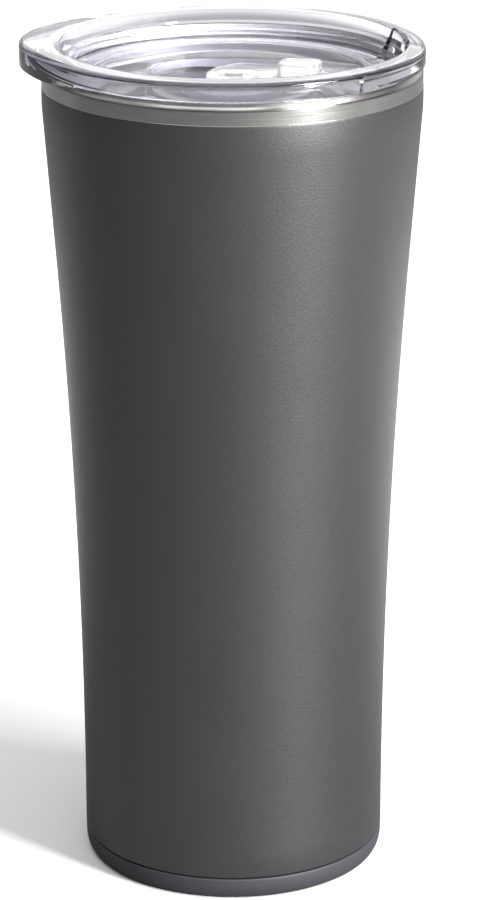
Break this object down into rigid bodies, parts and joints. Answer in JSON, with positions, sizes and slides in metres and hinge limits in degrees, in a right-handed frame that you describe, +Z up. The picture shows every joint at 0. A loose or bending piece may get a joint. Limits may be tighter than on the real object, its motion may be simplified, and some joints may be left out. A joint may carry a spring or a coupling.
{
  "type": "insulated tumbler with lid",
  "caption": "Tall flared double-wall steel tumbler, dark grey with a bare steel lip, clear press-in lid with a lift tab and a slider over the drink hole.",
  "frame": {"origin": "centre of the flat underside, on the cup's turning axis", "axes": "+Z up along the cup's axis; +X towards the drink hole, so the lift tab is at -X and the slider opens towards -X"},
  "size_m": [0.0953, 0.0896, 0.2014],
  "materials": {
    "powder_coat": "matte powder coat with a fine grain, bare brushed steel above the paint line",
    "bare_steel": "brushed round the axis",
    "solder": "satin",
    "getter_metal": "dull, sintered",
    "base_rubber": "matte",
    "clear_plastic": "clear, glossy",
    "clear_silicone": "milky clear"
  },
  "bodies": {
    "cup": {"outer_shell": "powder_coat", "inner_liner": "bare_steel", "inner_bottom": "bare_steel", "vacuum_bottom": "bare_steel", "vacuum_seal": "solder", "getter": "getter_metal", "getter_clip": "bare_steel", "base_pad": "base_rubber"},
    "lid": {"lid_body": "clear_plastic", "lid_gasket": "clear_silicone"},
    "slider": {"slider": "clear_plastic", "slider_retainer": "clear_plastic"}
  },
  "joints": [
    {"name": "lid_lift", "type": "slide", "parent": "cup", "child": "lid", "axis": [0, 0, 1], "range_m": [0, 0.04]},
    {"name": "slider_open", "type": "slide", "parent": "lid", "child": "slider", "axis": [-1, 0, 0], "range_m": [0, 0.01]}
  ]
}
